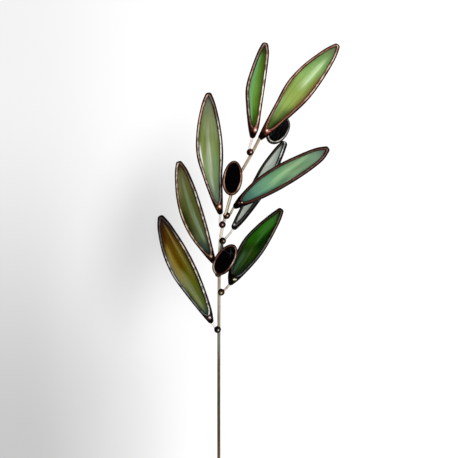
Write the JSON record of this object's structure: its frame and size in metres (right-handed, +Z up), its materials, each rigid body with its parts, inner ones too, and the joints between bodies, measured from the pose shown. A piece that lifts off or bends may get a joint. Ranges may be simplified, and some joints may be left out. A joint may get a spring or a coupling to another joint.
{
  "type": "stained glass olive branch",
  "caption": "Olive branch of cut glass leaves and dark glass olives in soldered rims, on short wires along a bent brass rod, lying on its back",
  "frame": {"origin": "Middle of the branch's own box, on the surface that it lies on", "axes": "+Y along the branch, from the cut end of the rod to the tips of the leaves; +Z up, away from the surface; +X to the right as seen from above"},
  "size_m": [0.129, 0.392, 0.0238],
  "materials": {
    "solder": "solder bead with a dark copper patina, polished on its crest",
    "rod_brass": "drawn brass, dulled and browner towards the cut end",
    "wire_brass": "bright drawn wire, pale from a coat of tin",
    "amber_glass": "streaky sheet glass, brown and amber with pale green",
    "deep_green_glass": "streaky sheet glass, deep green with dark streaks",
    "olive_glass": "streaky sheet glass, dark olive with blue-grey",
    "pale_grey_glass": "streaky sheet glass, pale grey-green",
    "grey_green_glass": "streaky sheet glass, grey-green with a whitish streak",
    "sea_green_glass": "streaky sheet glass, sea green to grey-green",
    "grass_green_glass": "streaky sheet glass, light green and grass green",
    "light_green_glass": "streaky sheet glass, light green with a whitish glow",
    "black_glass": "glossy black glass"
  },
  "bodies": {
    "root": {"stem_rod": "rod_brass", "low_left_leaf_rim": "solder", "low_left_leaf_glass": "amber_glass", "low_right_leaf_rim": "solder", "low_right_leaf_glass": "deep_green_glass", "mid_left_leaf_rim": "solder", "mid_left_leaf_glass": "olive_glass", "back_right_leaf_rim": "solder", "back_right_leaf_glass": "pale_grey_glass", "high_left_leaf_rim": "solder", "high_left_leaf_glass": "grey_green_glass", "front_right_leaf_rim": "solder", "front_right_leaf_glass": "sea_green_glass", "top_left_leaf_rim": "solder", "top_left_leaf_glass": "grass_green_glass", "top_right_leaf_rim": "solder", "top_right_leaf_glass": "light_green_glass", "low_olive_rim": "solder", "low_olive_glass": "black_glass", "mid_olive_rim": "solder", "mid_olive_glass": "black_glass", "top_olive_rim": "solder", "top_olive_glass": "black_glass", "low_left_leaf_wire": "wire_brass", "low_right_leaf_wire": "wire_brass", "mid_left_leaf_wire": "wire_brass", "back_right_leaf_wire": "wire_brass", "high_left_leaf_wire": "wire_brass", "front_right_leaf_wire": "wire_brass", "top_left_leaf_wire": "wire_brass", "mid_olive_wire": "wire_brass", "low_olive_wire": "wire_brass", "joint_ball_1": "solder", "joint_ball_2": "solder", "joint_ball_3": "solder", "joint_ball_4": "solder", "joint_ball_5": "solder", "joint_ball_6": "solder", "joint_ball_7": "solder"}
  },
  "joints": []
}
